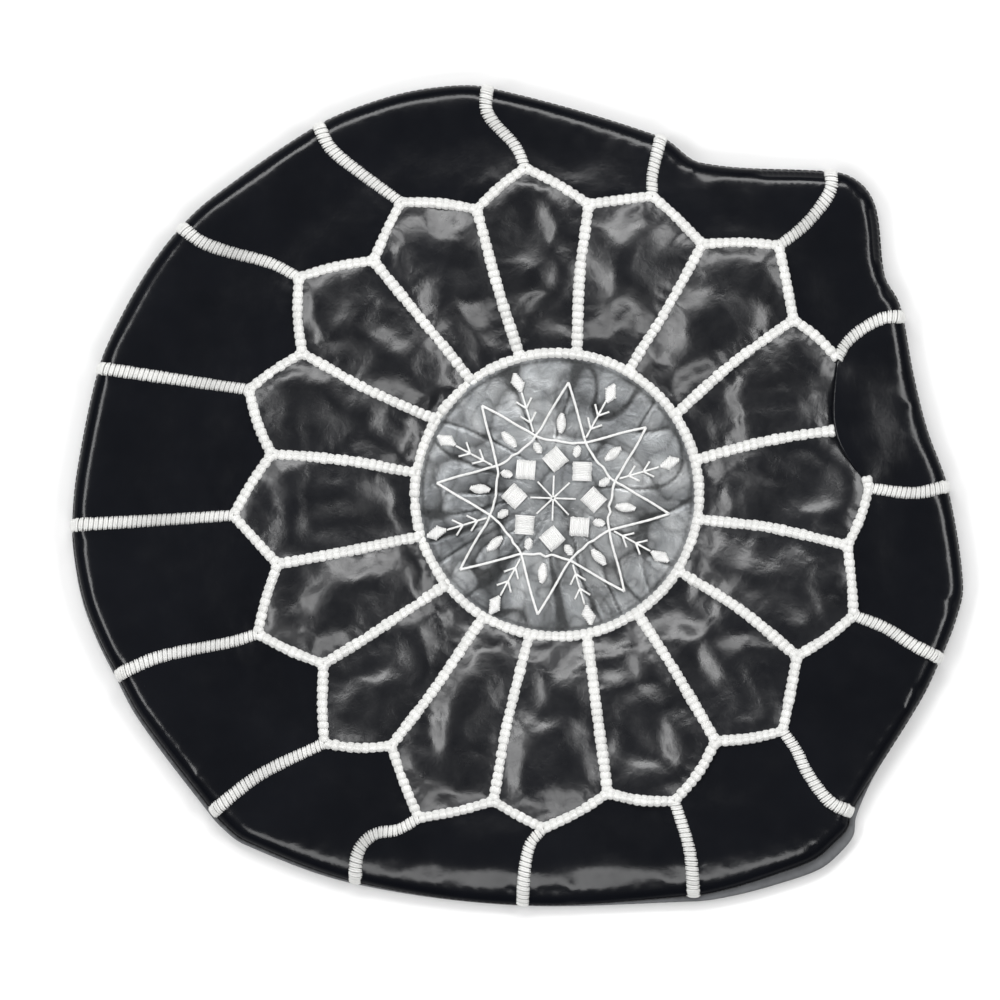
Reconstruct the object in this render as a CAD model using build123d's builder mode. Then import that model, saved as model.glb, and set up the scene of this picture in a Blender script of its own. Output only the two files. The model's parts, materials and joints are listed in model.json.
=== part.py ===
from build123d import *
import os
from collections import namedtuple
from math import cos, hypot, radians, sin

# An empty leather pouf cover, lying flat and zipped shut: a base in two halves joined by a zip,
# sixteen side panels, sixteen petals and a round medallion, every seam of the top wrapped in
# thick thread and the medallion embroidered.
# Millimetres, +Z up. The origin is the middle of the outline's box, on the floor.

# Driving dimensions
RING_CENTRE = (26.0, -0.75)    # the medallion's centre, from the origin
RING_RADIUS = 94.0            # centre line of the braid round the medallion
CAP_RADIUS = 99.0             # the top is level inside this radius
TOP_LEATHER = 1.4
BASE_LEATHER = 2.0
LAND_HEIGHT = 6.0             # where the side panels meet the base's turned-up edge
BASE_FLARE = 8.0              # how far in the base's edge starts to turn up
BASE_EDGE = 2.0               # extra thickness of the turned-up edge, for the seam to land on
REACH = 60.0                  # taller than anything in the cover
BEYOND = 1.06                 # places stretched this much from the centre are past the rim

# The top skin's section, as radius from the medallion's centre and height
TOP_PROFILE = [(CAP_RADIUS, 19.0), (112.0, 24.0), (135.0, 28.5), (175.0, 29.0), (205.0, 27.0),
               (240.0, 21.5), (290.0, 16.0), (350.0, 12.0)]
CAP_HEIGHT = TOP_PROFILE[0][1]
WALL_LEAN = 0.7               # how far the rim's wall leans in for each millimetre up
WALL_HEIGHT = 24.0            # taller than the skin is over the rim

# Thread
BRAID_GAP = 0.1               # the thread lies on the leather
BRAID_RISE = 2.5
SPOKE_BRAID_WIDTH = 7.2
RING_BRAID_WIDTH = 6.5
EDGE_BRAID_WIDTH = 6.6
SIDE_BRAID_WIDTH = 8.0
EMBROIDERY_RISE = 0.8
SEAM_INSET = (3.3, 4.1)       # the machine seam that joins the side panels and the base
SEAM_RISE = 0.9
STITCH_WIDTH = 0.8
STITCH_RISE = 0.3
TAPE_ROWS = (8.5, 13.0)       # rows of stitching that hold each zip tape
JOIN_ROW = 3.0                # rows that hold the base's two halves together past the zip

# The seams, one row per segment, clockwise seen from above from the rear left. All places are
# from the medallion's centre.
#   spoke_deg  where the spoke seam leaves the ring
#   valley     the spoke seam's outer end
#   tip        the petal's point, after this spoke
#   bends      the side seam from the tip outwards
#   rim        the side seam's end
#   edge       the rim between the side seam before and this one
Segment = namedtuple("Segment", "spoke_deg valley tip bends rim edge")
SEGMENTS = [
    Segment(105, (-53, 188), (-21, 216), [(-27, 230), (-35, 240), (-46, 253)], (-46, 271),
            [(-117, 263), (-80, 271)]),
    Segment(82, (21, 191), (63, 197), [(63, 211), (66, 224)], (69, 238),
            [(2, 257)]),
    Segment(60, (96, 165), (146, 164), [(159, 174), (169, 184), (181, 202)], (181, 215),
            [(82, 229), (95, 221), (140, 218)]),
    Segment(34, (156, 115), (185, 89), [(190, 99), (201, 109), (216, 117)], (229, 118),
            [(194, 212), (206, 202), (212, 187), (214, 165), (217, 145), (225, 131)]),
    Segment(14, (197, 44), (205, 4), [(217, 3), (236, 1)], (258, 6),
            [(236, 79), (245, 43)]),
    Segment(-10, (191, -34), (195, -80), [(216, -88), (236, -100)], (253, -108),
            [(263, -23), (268, -59), (263, -83)]),
    Segment(-32, (158, -107), (148, -156), [(157, -168), (165, -184), (180, -203)], (194, -209),
            [(240, -135), (213, -179)]),
    Segment(-56, (104, -163), (77, -202), [(81, -214), (87, -234)], (90, -264),
            [(192, -219), (183, -229), (170, -240), (144, -250), (115, -259)]),
    Segment(-78, (33, -197), (-9, -220), [(-17, -229), (-21, -244)], (-23, -270),
            [(34, -268)]),
    Segment(-101, (-42, -202), (-91, -213), [(-105, -221), (-118, -223), (-127, -229), (-132, -239)],
            (-133, -255), [(-60, -264)]),
    Segment(-121, (-109, -166), (-153, -164), [(-176, -175), (-196, -185)], (-227, -209),
            [(-170, -242), (-206, -228), (-221, -216)]),
    Segment(-141, (-154, -112), (-197, -92), [(-213, -97), (-262, -107)], (-290, -119),
            [(-246, -185), (-275, -146)]),
    Segment(-163, (-184, -46), (-213, -14), [(-240, -15), (-269, -17)], (-320, -20),
            [(-302, -96), (-312, -71), (-318, -43)]),
    Segment(171, (-188, 26), (-203, 69), [(-236, 73), (-262, 77)], (-303, 84),
            [(-317, 16), (-311, 50)]),
    Segment(148, (-168, 93), (-170, 143), [(-189, 153), (-221, 162), (-236, 168)], (-249, 178),
            [(-289, 117), (-269, 152)]),
    Segment(127, (-121, 154), (-103, 193), [(-130, 213), (-150, 230)], (-158, 246),
            [(-229, 197), (-196, 221)]),
]
COUNT = len(SEGMENTS)
RIM = [point for segment in SEGMENTS for point in [*segment.edge, segment.rim]]

# Embroidery, from its own centre: how far out each motif lies and which way the first points
EMBROIDERY_OFFSET = (-2.6, -2.6)
MOTIF_COUNT = 8
MOTIF_STEP = 360 / MOTIF_COUNT
STAR_TIP_RADIUS = 78.0
STAR_CROSS_RADIUS = 43.0
STAR_WAIST_RADIUS = 38.6
STAR_DEG = 37.4               # a star tip; the others follow at equal steps
STAR_LINE = 2.2
RAY_LENGTH = 15.0
RAY_LINE = 1.7
BLOCK_RADIUS = 26.0
BLOCK_SIDE = 12.6
BLOCK_DEG = 43.0
INNER_LEAF = (34.8, 9.6, 5.6)  # radius, length and width
INNER_LEAF_DEG = 17.0
TIP_LEAF = (49.0, 15.5, 6.3)
SPRIG_DEG = 16.5
SPRIG_START = 45.6
SPRIG_END = 73.0
SPRIG_LINE = 1.7
CHEVRON_RADII = (52.0, 62.0)
CHEVRON_LENGTH = 8.0
CHEVRON_DEG = 42.0
DIAMOND = (80.0, 12.4, 7.0)    # radius, length and width

# Zip, along X through the middle of the base, slider at the +X end when shut
SLOT_LENGTH = 326.0
SLOT_WIDTH = 12.0
HEM_WIDTH = 10.0
HEM_HEIGHT = 2 * BASE_LEATHER
TAPE_THICKNESS = 0.6
TAPE_LENGTH = 338.0
ROW_LENGTH = 336.0
TAPE_INNER = 2.3
TAPE_OUTER = 16.0
CHAIN_HEIGHT = HEM_HEIGHT + TAPE_THICKNESS / 2
TOOTH_PITCH = 2.5
TOOTH_SIZE = (1.05, 3.1, 2.4)
TOOTH_COUNT = 116
STOP_X = 148.0
STOP_Y = 1.2
STOP_SIZE = (2.0, 2.0, 2.2)
SLIDER_X = 139.0
SLIDER_LENGTH = 11.0
SLIDER_WIDTH = 8.8
CORNER_ROUND = 2.0
PLATE_THICKNESS = 1.0
FLANGE_WIDTH = 1.4
RUNNING_GAP = 0.15
BAIL_LENGTH = 6.4
BAIL_WIDTH = 1.2
BAIL_BAR = 0.6
BAIL_BOTTOM = 0.4
PULL_HEIGHT = 1.42
PULL_THICKNESS = 0.7
PULL_LENGTH = 24.0
PULL_WIDTH = 7.0
PULL_CORNER = 2.4
PULL_WINDOW = (3.9, 2.8)
JOIN_SPANS = ((-280, -175), (175, 270))   # where the base's halves meet past the zip


def from_ring(point, grow=1.0):
    """Give a place in the model's frame for one stated from the medallion's centre."""
    return (RING_CENTRE[0] + grow * point[0], RING_CENTRE[1] + grow * point[1])


def polar(radius, degrees):
    return (radius * cos(radians(degrees)), radius * sin(radians(degrees)))


def shifted(points, shift, closed=False):
    """Move a run of points to the left of its heading, with mitred corners."""
    path = [Vector(*point) for point in points]
    moved = []
    for index, point in enumerate(path):
        before = (point - path[index - 1]).normalized() if index or closed else None
        following = path[(index + 1) % len(path)]
        after = (following - point).normalized() if index + 1 < len(path) or closed else None
        heading = ((before or after) + (after or before)).normalized()
        mitre = heading.dot(after or before)
        moved.append(point + Vector(-heading.Y, heading.X) * (shift / mitre))
    return moved


def outline(height, inset=0.0):
    """Sketch the cover's outline at one height, drawn in by the inset."""
    corners = [from_ring(point) for point in RIM]
    with BuildSketch(Plane.XY.offset(height)) as sketch:
        with BuildLine():
            Polyline(*shifted(corners, -inset, closed=True), close=True)
        make_face()
    return sketch.sketch


def pillow(rise, inset=0.0):
    """Make the solid under the top skin, with the skin raised and its wall drawn in."""
    foot = LAND_HEIGHT + rise
    profile = [(0, foot), (0, CAP_HEIGHT + rise)]
    profile += [(radius, height + rise) for radius, height in TOP_PROFILE]
    profile += [(TOP_PROFILE[-1][0], foot)]
    ring_plane = Plane(origin=(*RING_CENTRE, 0), x_dir=(1, 0, 0), z_dir=(0, -1, 0))
    with BuildPart() as wall:
        loft(sections=[outline(foot, inset),
                       outline(foot + WALL_HEIGHT, inset + WALL_LEAN * WALL_HEIGHT)],
             ruled=True)
    with BuildPart() as solid:
        with BuildSketch(ring_plane):
            with BuildLine():
                Polyline(*profile, close=True)
            make_face()
        revolve(axis=Axis((*RING_CENTRE, 0), (0, 0, 1)))
        add(wall.part, mode=Mode.INTERSECT)
    return solid.part


def between(lower, upper):
    """Make the layer between two pillows."""
    with BuildPart() as layer:
        add(upper)
        add(lower, mode=Mode.SUBTRACT)
    return layer.part


def cut_piece(name, layer, plan):
    """Cut out the part of a layer that lies over a plan."""
    with BuildPart() as piece:
        extrude(to_extrude=plan, amount=REACH)
        add(layer, mode=Mode.INTERSECT)
    save(name, piece.part)


def save(name, shape):
    shape.label = name
    export_step(shape, f"parts/{name}.step")


def strip(points, width):
    """Sketch a strip along a run of points."""
    with BuildSketch() as sketch:
        with BuildLine():
            Polyline(*shifted(points, width / 2), *reversed(shifted(points, -width / 2)), close=True)
        make_face()
    return sketch.sketch


def side_seam(index):
    """List a side seam's places from the petal's tip to past the rim."""
    segment = SEGMENTS[index % COUNT]
    run = [segment.tip, *segment.bends, segment.rim]
    return [from_ring(point) for point in run] + [from_ring(segment.rim, BEYOND)]


def petal_plan(index):
    """Sketch the petal between a spoke and the next, down to the ring."""
    this, following = SEGMENTS[index], SEGMENTS[(index + 1) % COUNT]
    start = from_ring(polar(RING_RADIUS, this.spoke_deg))
    end = from_ring(polar(RING_RADIUS, following.spoke_deg))
    turn = (this.spoke_deg - following.spoke_deg) % 360
    middle = from_ring(polar(RING_RADIUS, this.spoke_deg - turn / 2))
    with BuildSketch() as sketch:
        with BuildLine():
            Polyline(start, from_ring(this.valley), from_ring(this.tip),
                     from_ring(following.valley), end)
            ThreePointArc(end, middle, start)
        make_face()
    return sketch.sketch


def side_plan(index):
    """Sketch the side panel round a spoke's valley, out past the rim."""
    segment = SEGMENTS[index]
    beyond = [from_ring(point, BEYOND) for point in segment.edge]
    with BuildSketch() as sketch:
        with BuildLine():
            Polyline(*side_seam(index - 1), *beyond, *reversed(side_seam(index)),
                     from_ring(segment.valley), close=True)
        make_face()
    return sketch.sketch


def zigzag(grow):
    """Sketch the area inside the petals' outer edges, grown or shrunk."""
    corners = [from_ring(point) for segment in SEGMENTS for point in (segment.valley, segment.tip)]
    with BuildSketch() as sketch:
        with BuildLine():
            Polyline(*shifted(corners, grow, closed=True), close=True)
        make_face()
    return sketch.sketch


def motif_places(radius, first_deg):
    """Give the places of a motif that repeats round the medallion, turned to point outwards."""
    centre = from_ring(EMBROIDERY_OFFSET)
    places = []
    for index in range(MOTIF_COUNT):
        degrees = first_deg + index * MOTIF_STEP
        out = polar(radius, degrees)
        places.append(Location((centre[0] + out[0], centre[1] + out[1], 0), (0, 0, degrees)))
    return places


def leaf(length, width):
    """Sketch a pointed leaf along X."""
    tip, belly = length / 2, width / 2
    with BuildSketch() as sketch:
        with BuildLine():
            ThreePointArc((-tip, 0), (0, belly), (tip, 0))
            ThreePointArc((tip, 0), (0, -belly), (-tip, 0))
        make_face()
    return sketch.sketch


def diamond(length, width):
    """Sketch a diamond along X."""
    with BuildSketch() as sketch:
        with BuildLine():
            Polyline((-length / 2, 0), (0, width / 2), (length / 2, 0), (0, -width / 2), close=True)
        make_face()
    return sketch.sketch


def bar(start, end, width):
    """Sketch a straight line of thread between two places."""
    with BuildSketch() as sketch:
        with BuildLine() as line:
            Line(start, end)
        trace(line.line, line_width=width)
    return sketch.sketch


def star_stroke():
    """Sketch the bowed line between the star tip on X and the next but one."""
    half = MOTIF_STEP
    with BuildSketch() as sketch:
        with BuildLine() as line:
            Spline(polar(STAR_TIP_RADIUS, 0), polar(STAR_CROSS_RADIUS, half / 2),
                   polar(STAR_WAIST_RADIUS, half), polar(STAR_CROSS_RADIUS, half * 3 / 2),
                   polar(STAR_TIP_RADIUS, 2 * half))
        trace(line.line, line_width=STAR_LINE)
    return sketch.sketch


def sprig():
    """Sketch a stem along X with two pairs of twigs."""
    with BuildSketch() as sketch:
        add(bar((SPRIG_START, 0), (SPRIG_END, 0), SPRIG_LINE))
        for radius in CHEVRON_RADII:
            for turn in (CHEVRON_DEG, -CHEVRON_DEG):
                reach = polar(CHEVRON_LENGTH, turn)
                add(bar((radius, 0), (radius + reach[0], reach[1]), SPRIG_LINE))
    return sketch.sketch


def embroider(name, motif, radius, first_deg):
    """Raise a motif off the medallion at each of its places."""
    with BuildPart() as thread:
        with BuildSketch(Plane.XY.offset(CAP_HEIGHT + BRAID_GAP)):
            with Locations(*motif_places(radius, first_deg)):
                add(motif)
        extrude(amount=EMBROIDERY_RISE)
    save(name, thread.part)


def base_half(name, keep):
    """Make half of the base: a flat panel with a turned-up edge and a hem along the slot."""
    with BuildPart() as half:
        loft(sections=[outline(0, inset=BASE_FLARE), outline(LAND_HEIGHT)], ruled=True)
        loft(sections=[outline(BASE_LEATHER, inset=BASE_FLARE + BASE_EDGE),
                       outline(LAND_HEIGHT + BASE_LEATHER, inset=BASE_EDGE)],
             ruled=True, mode=Mode.SUBTRACT)
        with BuildSketch(Plane.XY.offset(BASE_LEATHER)):
            Rectangle(SLOT_LENGTH + 2 * HEM_WIDTH, SLOT_WIDTH + 2 * HEM_WIDTH)
        extrude(amount=HEM_HEIGHT - BASE_LEATHER)
        with BuildSketch():
            Rectangle(SLOT_LENGTH, SLOT_WIDTH)
        extrude(amount=HEM_HEIGHT, mode=Mode.SUBTRACT)
        split(bisect_by=Plane.XZ, keep=keep)
    save(name, half.part)


def zip_side(name_end, side):
    """Make one side's tape and its row of teeth; side is 1 for +Y and -1 for -Y."""
    with BuildPart() as tape:
        with BuildSketch(Plane.XY.offset(HEM_HEIGHT)):
            with Locations((0, side * (TAPE_INNER + TAPE_OUTER) / 2)):
                Rectangle(TAPE_LENGTH, TAPE_OUTER - TAPE_INNER)
        extrude(amount=TAPE_THICKNESS)
    save(f"zip_tape_{name_end}", tape.part)

    tooth_y = side * (TAPE_INNER - TOOTH_SIZE[1] / 2)
    stagger = side * TOOTH_PITCH / 4
    with BuildPart() as teeth:
        with Locations((stagger, tooth_y, CHAIN_HEIGHT)):
            with GridLocations(TOOTH_PITCH, 0, TOOTH_COUNT, 1):
                Box(*TOOTH_SIZE)
    save(f"zip_teeth_{name_end}", teeth.part)


def slider_plate(inner_height, side):
    """Sketch a slider plate's section across the zip, with a flange along each edge."""
    flange_tip = CHAIN_HEIGHT + side * (TAPE_THICKNESS / 2 + RUNNING_GAP)
    outer_height = inner_height + side * PLATE_THICKNESS
    half, inside = SLIDER_WIDTH / 2, SLIDER_WIDTH / 2 - FLANGE_WIDTH
    with BuildSketch(Plane.YZ.offset(SLIDER_X - SLIDER_LENGTH / 2)) as section:
        with BuildLine():
            Polyline((-half, outer_height), (half, outer_height), (half, flange_tip), (inside, flange_tip),
                     (inside, inner_height), (-inside, inner_height), (-inside, flange_tip),
                     (-half, flange_tip), close=True)
        make_face()
    return section.sketch


os.makedirs("parts", exist_ok=True)

# The top: medallion, petals and side panels, cut from one skin along the seams
skin = between(pillow(-TOP_LEATHER, TOP_LEATHER), pillow(0.0))

with BuildPart() as medallion:
    with BuildSketch(Plane.XY.offset(CAP_HEIGHT - TOP_LEATHER)):
        with Locations(RING_CENTRE):
            Circle(RING_RADIUS)
    extrude(amount=TOP_LEATHER)
save("medallion", medallion.part)

for index in range(COUNT):
    cut_piece(f"petal_{index + 1:02d}", skin, petal_plan(index))
    cut_piece(f"side_panel_{index + 1:02d}", skin, side_plan(index))

# The braids over the seams: the ring's lies on the level cap, and the others follow the skin
with BuildPart() as ring_braid:
    with BuildSketch(Plane.XY.offset(CAP_HEIGHT + BRAID_GAP)):
        with Locations(RING_CENTRE):
            Circle(RING_RADIUS + RING_BRAID_WIDTH / 2)
            Circle(RING_RADIUS - RING_BRAID_WIDTH / 2, mode=Mode.SUBTRACT)
    extrude(amount=BRAID_RISE)
save("ring_braid", ring_braid.part)

braid_layer = between(pillow(BRAID_GAP), pillow(BRAID_GAP + BRAID_RISE))
inside_edge = zigzag(-EDGE_BRAID_WIDTH / 2)
inside_and_edge = zigzag(EDGE_BRAID_WIDTH / 2)

with BuildSketch() as edge_plan:
    add(inside_and_edge)
    add(inside_edge, mode=Mode.SUBTRACT)
cut_piece("petal_edge_braid", braid_layer, edge_plan.sketch)

with BuildSketch() as spoke_plan:
    for segment in SEGMENTS:
        ring_end = from_ring(polar(RING_RADIUS, segment.spoke_deg))
        add(strip([ring_end, from_ring(segment.valley)], SPOKE_BRAID_WIDTH))
    add(inside_edge, mode=Mode.INTERSECT)
    with Locations(RING_CENTRE):
        Circle(RING_RADIUS + RING_BRAID_WIDTH / 2, mode=Mode.SUBTRACT)
cut_piece("spoke_braids", braid_layer, spoke_plan.sketch)

with BuildSketch() as side_seams:
    for index in range(COUNT):
        add(strip(side_seam(index), SIDE_BRAID_WIDTH))
    add(inside_and_edge, mode=Mode.SUBTRACT)
cut_piece("side_seam_braids", braid_layer, side_seams.sketch)

# The embroidery on the medallion
with BuildSketch() as ray:
    add(bar((0, 0), (RAY_LENGTH, 0), RAY_LINE))
with BuildSketch() as block:
    Rectangle(BLOCK_SIDE, BLOCK_SIDE, rotation=45)
embroider("centre_star_embroidery", ray.sketch, 0, BLOCK_DEG)
embroider("square_embroidery", block.sketch, BLOCK_RADIUS, BLOCK_DEG)
embroider("inner_leaf_embroidery", leaf(*INNER_LEAF[1:]), INNER_LEAF[0], INNER_LEAF_DEG)
embroider("star_outline_embroidery", star_stroke(), 0, STAR_DEG)
embroider("tip_leaf_embroidery", leaf(*TIP_LEAF[1:]), TIP_LEAF[0], STAR_DEG)
embroider("sprig_embroidery", sprig(), 0, SPRIG_DEG)
embroider("diamond_embroidery", diamond(*DIAMOND[1:]), DIAMOND[0], SPRIG_DEG)

# The base and its stitching
base_half("base_front", Keep.TOP)
base_half("base_rear", Keep.BOTTOM)

with BuildPart() as base_seam:
    with BuildSketch() as ring:
        add(outline(0, inset=SEAM_INSET[0]))
        add(outline(0, inset=SEAM_INSET[1]), mode=Mode.SUBTRACT)
    extrude(to_extrude=ring.sketch.moved(Location((0, 0, LAND_HEIGHT))), amount=SEAM_RISE)
save("base_seam", base_seam.part)

with BuildPart() as base_stitching:
    with BuildSketch(Plane.XY.offset(HEM_HEIGHT + TAPE_THICKNESS)):
        for row in TAPE_ROWS:
            with Locations((0, row), (0, -row)):
                Rectangle(ROW_LENGTH, STITCH_WIDTH)
    extrude(amount=STITCH_RISE)
    with BuildSketch(Plane.XY.offset(BASE_LEATHER)):
        for start, end in JOIN_SPANS:
            with Locations(((start + end) / 2, JOIN_ROW), ((start + end) / 2, -JOIN_ROW)):
                Rectangle(end - start, STITCH_WIDTH)
    extrude(amount=STITCH_RISE)
save("base_stitching", base_stitching.part)

# The zip
zip_side("front", -1)
zip_side("rear", 1)

with BuildPart() as top_stops:
    with Locations((STOP_X, STOP_Y, CHAIN_HEIGHT), (STOP_X, -STOP_Y, CHAIN_HEIGHT)):
        Box(*STOP_SIZE)
save("zip_top_stops", top_stops.part)

with BuildPart() as bottom_stop:
    with Locations((-STOP_X, 0, CHAIN_HEIGHT)):
        Box(STOP_SIZE[0], 2 * TAPE_INNER, STOP_SIZE[2])
save("zip_bottom_stop", bottom_stop.part)

upper_plate = CHAIN_HEIGHT + TOOTH_SIZE[2] / 2 + RUNNING_GAP
lower_plate = CHAIN_HEIGHT - TOOTH_SIZE[2] / 2 - RUNNING_GAP
plate_bottom = lower_plate - PLATE_THICKNESS
with BuildPart() as zip_slider:
    extrude(to_extrude=slider_plate(upper_plate, 1), amount=SLIDER_LENGTH)
    extrude(to_extrude=slider_plate(lower_plate, -1), amount=SLIDER_LENGTH)
    corners = [edge for edge in zip_slider.edges().filter_by(Axis.Z)
               if abs(edge.center().Y) > (SLIDER_WIDTH - FLANGE_WIDTH) / 2]
    fillet(corners, radius=CORNER_ROUND)
    with BuildSketch(Plane.XZ.offset(-BAIL_WIDTH / 2)):
        with Locations((SLIDER_X, (BAIL_BOTTOM + plate_bottom) / 2)):
            Rectangle(BAIL_LENGTH, plate_bottom - BAIL_BOTTOM)
        with Locations((SLIDER_X, (BAIL_BOTTOM + BAIL_BAR + plate_bottom) / 2)):
            Rectangle(BAIL_LENGTH - 2 * BAIL_BAR, plate_bottom - BAIL_BOTTOM - BAIL_BAR, mode=Mode.SUBTRACT)
    extrude(amount=BAIL_WIDTH)
save("zip_slider", zip_slider.part)

with BuildPart() as zip_pull:
    bar_radius = PULL_THICKNESS / 2
    with BuildSketch(Plane.XY.offset(PULL_HEIGHT - bar_radius)):
        with Locations((SLIDER_X + bar_radius - PULL_LENGTH / 2, 0)):
            RectangleRounded(PULL_LENGTH, PULL_WIDTH, PULL_CORNER)
        with Locations((SLIDER_X - PULL_WINDOW[0] / 2, 0)):
            Rectangle(PULL_WINDOW[0] + 2 * bar_radius, PULL_WINDOW[1], mode=Mode.SUBTRACT)
    extrude(amount=PULL_THICKNESS)
    with BuildSketch(Plane.XZ.offset(-PULL_WINDOW[1] / 2)):
        with Locations((SLIDER_X, PULL_HEIGHT)):
            Circle(bar_radius)
    extrude(amount=PULL_WINDOW[1])
save("zip_pull", zip_pull.part)
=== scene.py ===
import json
import math

import bpy
import numpy as np
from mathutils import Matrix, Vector, noise
from mathutils.bvhtree import BVHTree
from mathutils.geometry import delaunay_2d_cdt
from mathutils.kdtree import KDTree


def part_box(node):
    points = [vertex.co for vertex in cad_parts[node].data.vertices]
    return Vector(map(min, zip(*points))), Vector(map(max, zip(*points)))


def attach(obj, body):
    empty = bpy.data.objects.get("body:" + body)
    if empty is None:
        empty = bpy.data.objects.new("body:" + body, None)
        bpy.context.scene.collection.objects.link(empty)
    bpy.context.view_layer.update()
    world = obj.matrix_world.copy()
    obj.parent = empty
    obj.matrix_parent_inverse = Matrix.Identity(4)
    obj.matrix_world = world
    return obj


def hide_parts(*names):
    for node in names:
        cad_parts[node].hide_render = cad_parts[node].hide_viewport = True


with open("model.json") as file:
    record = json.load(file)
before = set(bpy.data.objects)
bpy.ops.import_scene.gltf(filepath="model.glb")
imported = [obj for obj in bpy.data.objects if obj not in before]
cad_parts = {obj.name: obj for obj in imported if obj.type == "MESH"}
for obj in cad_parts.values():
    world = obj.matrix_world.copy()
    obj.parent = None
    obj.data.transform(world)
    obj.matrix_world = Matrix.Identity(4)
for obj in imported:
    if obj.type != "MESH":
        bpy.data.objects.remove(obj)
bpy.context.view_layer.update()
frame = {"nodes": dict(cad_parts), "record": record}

# The looks of an empty leather pouf cover lying flat: crumpled leather panels held by wrapped
# seams, an embroidered medallion, and the zipped base under them. Metres, in the CAD's frame.

MM = 0.001
COUNT = 16                     # segments round the cover
REPEAT = 8                     # repeats of each embroidered motif
PLEATED = 5                    # the side panel that is folded back over its own seam
SAME_PLACE = 0.2 * MM
SLIGHTEST_TURN = 0.06          # the sine of the least turn that counts as a corner
SKY = 0.2                      # a height over everything, to look down from
RANDOM = np.random.default_rng(16)

# Leather
SHEET_SPACING = 5.0 * MM
MEDALLION_SPACING = 3.4 * MM
BASE_SPACING = 8.0 * MM
SEAM_SPACING = 3.6 * MM
TOP_THICKNESS = 1.3 * MM
BASE_THICKNESS = 1.8 * MM
PETAL_SLACK = 0.055            # how much longer the leather is than its seams allow
SIDE_SLACK = 0.0005
MEDALLION_SLACK = 0.002
SETTLE_FRAMES = 32
CLOTH = {"quality": 5, "mass": 0.05, "air_damping": 2.0, "tension_stiffness": 30,
         "compression_stiffness": 30, "shear_stiffness": 12, "bending_stiffness": 6.0,
         "tension_damping": 10, "compression_damping": 10, "bending_damping": 1.0,
         "vertex_group_mass": "held", "vertex_group_shrink": "taut", "shrink_min": -PETAL_SLACK,
         "shrink_max": 0.0, "use_pressure": True, "uniform_pressure_force": 1.5}
SOFTENING_ROUNDS = 2
RIM_ROUNDS = 10                # smoothing of the rounded edge, between these distances from the rim
RIM_CLEAR = 2.5 * MM
RIM_REACH = 32 * MM
TALLEST = 9.0 * MM             # the most that the settled leather rises over where it started
EDGE_RISE = 13.5 * MM          # how far the leather stands over the seam once it has turned over
WALL_WIDTH = 0.9 * MM
ROLL_WIDTH = 10 * MM           # the rounded edge, which is wider along the front
FRONT_ROLL_WIDTH = 27 * MM
ROLL_STEEPNESS = 0.46
SLOPE_WIDTH = 60 * MM
PLEAT_REACH = 12.5 * MM
PLEAT_LIFT = 4.0 * MM
BAND_REACH = 7.5 * MM          # how far the base stands out past the rim at the front right
BAND_TURN = math.radians(-52)
BAND_BREADTHS = (0.12, 0.42)   # how far round it goes, in radians, each way
LEFT_REACH = 2.5 * MM          # and at the front left
LEFT_TURN = math.radians(-140)
LEFT_BREADTH = 0.5
BASE_LIP = 9 * MM              # the strip of the base that turns up towards the rim

# Thread
WRAP_PITCH = 4.7 * MM
WRAP_WIDTH = 8.0 * MM
WRAP_HEIGHT = 2.6 * MM
RIB_PITCH = 1.62 * MM
RIB_WIDTH = 9.0 * MM
RIB_HEIGHT = 2.4 * MM
CORD_RADIUS = 0.85 * MM
CORD_LIFT = 0.45               # how high a cord lies, as a share of its radius
SATIN_RADIUS = 0.64 * MM
SATIN_PITCH = 1.2 * MM
DIAMOND_GROWTH = 1.25          # the stitched diamonds swell past their pattern
STAR_BOW = 3.16                # how late the star's lines turn out towards their tips
TWIG_PLACES = (0.235, 0.6)
TWIG_LENGTH = 0.29
TWIG_TURN = math.radians(42)
SEAM_STITCH = 3.6 * MM
SEAM_GAP = 1.0 * MM
ROW_STITCH = 3.0 * MM
ROW_GAP = 0.8 * MM
STITCH_RADIUS = 0.35 * MM

# View
CAMERA_HEIGHT = math.radians(86.5)
CAMERA_DISTANCE = 6.0
VIEW_WIDTH = 0.66
VIEW_CENTRE = Vector((-0.0116, -0.004, 0.015))
FLOOR_REACH = 6.0


# Reading the frame


def places(node):
    """Give a CAD node's vertices as an array."""
    return np.array([vertex.co for vertex in frame["nodes"][node].data.vertices])


def unlike(points):
    """Drop points that repeat an earlier one."""
    kept = []
    for point in points:
        if all(np.linalg.norm(point - other) > SAME_PLACE for other in kept):
            kept.append(point)
    return kept


def meeting(*nodes):
    """List the plan places where all these nodes have a vertex, from the ring outwards."""
    found = places(nodes[0])[:, :2]
    for node in nodes[1:]:
        others = places(node)[:, :2]
        gaps = np.linalg.norm(found[:, None] - others[None], axis=2).min(axis=1)
        found = found[gaps < SAME_PLACE]
    return unlike(found[np.argsort(np.linalg.norm(found - CENTRE, axis=1))])


def corners(points):
    """Keep a run's ends and the points where it turns."""
    kept = [points[0]]
    for here, after in zip(points[1:], points[2:]):
        a, b = here - kept[-1], after - here
        turn = abs(a[0] * b[1] - a[1] * b[0]) / (np.linalg.norm(a) * np.linalg.norm(b))
        if turn > SLIGHTEST_TURN:
            kept.append(here)
    return kept + [points[-1]]


def bearing(point):
    """Give a plan place's direction from the ring's centre, in radians."""
    return math.atan2(point[1] - CENTRE[1], point[0] - CENTRE[0])


def rim_corners(panel):
    """List the outline's corners along one side panel, clockwise."""
    mesh = frame["nodes"][panel].data
    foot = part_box(panel)[0].z
    found = []
    for face in mesh.polygons:
        if face.normal.z > 0.1:
            found += [np.array(mesh.vertices[i].co[:2]) for i in face.vertices
                      if mesh.vertices[i].co.z < foot + SAME_PLACE]
    middle = bearing(np.mean(found, axis=0))
    found.sort(key=lambda point: -math.remainder(bearing(point) - middle, math.tau))
    return corners(unlike(found))


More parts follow.
